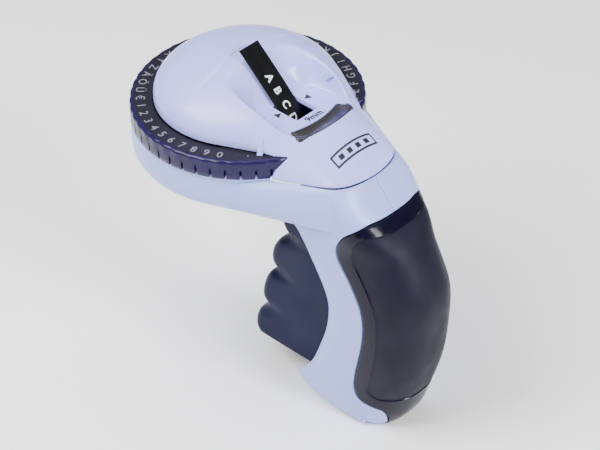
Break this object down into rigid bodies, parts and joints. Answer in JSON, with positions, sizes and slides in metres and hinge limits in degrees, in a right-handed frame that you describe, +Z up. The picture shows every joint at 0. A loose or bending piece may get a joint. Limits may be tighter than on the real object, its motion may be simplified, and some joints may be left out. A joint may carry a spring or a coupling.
{
  "type": "embossing label maker",
  "caption": "Pistol-grip embossing label maker: rotating letter ring under a domed head, squeeze trigger and a tape compartment door on the back of the handle.",
  "frame": {"origin": "centre of the flat round pad under the head, on the letter wheel's axis", "axes": "+Z up along the letter wheel's axis, +X back towards the handle, Y across the object"},
  "size_m": [0.1289, 0.082, 0.1261],
  "materials": {
    "cover": "gloss lilac white",
    "housing": "satin pale blue",
    "door": "gloss aubergine",
    "pad": "soft-touch matt",
    "trigger": "satin navy",
    "ring": "gloss purple black",
    "lens": "smoked clear",
    "dies": "satin black",
    "frame": "satin grey",
    "spool": "satin white",
    "steel": "bright steel",
    "rubber": "matt black",
    "tape": "gloss black vinyl"
  },
  "bodies": {
    "root": {"top_cover": "cover", "window_lens": "lens", "left_housing": "housing", "right_housing": "housing", "wheel_collar": "frame", "detent_spring": "steel", "anvil": "steel", "door_hinge_pin": "steel", "trigger_pin": "steel", "trigger_spring": "steel", "lever_pin": "steel", "pinch_shaft": "steel", "tape_guide": "frame", "tape_strip": "tape", "spool_cradle": "frame", "handle_screws": "steel", "cover_screws": "steel"},
    "wheel": {"character_ring": "ring", "die_wheel": "dies"},
    "trigger": {"trigger": "trigger"},
    "press": {"press_lever": "steel", "platen": "rubber", "cutter_blade": "steel"},
    "feed": {"feed_roller": "rubber", "feed_shaft": "steel", "ratchet_wheel": "spool"},
    "pawl": {"feed_pawl": "steel"},
    "pinch": {"pinch_roller": "rubber"},
    "roll": {"tape_roll": "tape", "tape_spool": "spool"},
    "door": {"tape_door": "door", "grip_pad": "pad"},
    "latch": {"door_latch": "door"}
  },
  "joints": [
    {"name": "wheel_spin", "type": "hinge", "parent": "root", "child": "wheel", "pos_m": [0, 0, 0.018], "axis": [0, 0, 1], "continuous": true},
    {"name": "trigger_pull", "type": "hinge", "parent": "root", "child": "trigger", "pos_m": [0.04, 0, -0.0035], "axis": [0, -1, 0], "range_deg": [0, 12], "stiffness_Nm_per_rad": 0.6, "springref_deg": -20.05},
    {"name": "press_lift", "type": "hinge", "parent": "root", "child": "press", "pos_m": [0.058, 0, 0.0065], "axis": [0, 1, 0], "range_deg": [0, 4.7]},
    {"name": "feed_spin", "type": "hinge", "parent": "root", "child": "feed", "pos_m": [0.05, 0, 0.0077], "axis": [0, 1, 0], "continuous": true},
    {"name": "pinch_spin", "type": "hinge", "parent": "root", "child": "pinch", "pos_m": [0.05, 0, 0.0157], "axis": [0, 1, 0], "continuous": true},
    {"name": "roll_spin", "type": "hinge", "parent": "root", "child": "roll", "pos_m": [0.0663, 0, -0.0355], "axis": [0, 1, 0], "continuous": true},
    {"name": "pawl_swing", "type": "hinge", "parent": "root", "child": "pawl", "pos_m": [0.058, 0, 0.003], "axis": [0, 1, 0], "range_deg": [-6, 0], "stiffness_Nm_per_rad": 0.01, "springref_deg": 11.46},
    {"name": "door_open", "type": "hinge", "parent": "root", "child": "door", "pos_m": [0.0674, 0, -0.0796], "axis": [0, 1, 0], "range_deg": [0, 95]},
    {"name": "latch_press", "type": "slide", "parent": "root", "child": "latch", "axis": [-1, 0, 0], "range_m": [0, 0.0012], "stiffness_N_per_m": 300, "springref_m": -0.002}
  ],
  "couplings": [
    {"joint": "press_lift", "follows": "trigger_pull", "ratio": 0.385},
    {"joint": "pinch_spin", "follows": "feed_spin", "ratio": -1.5},
    {"joint": "roll_spin", "follows": "feed_spin", "ratio": 0.36}
  ]
}
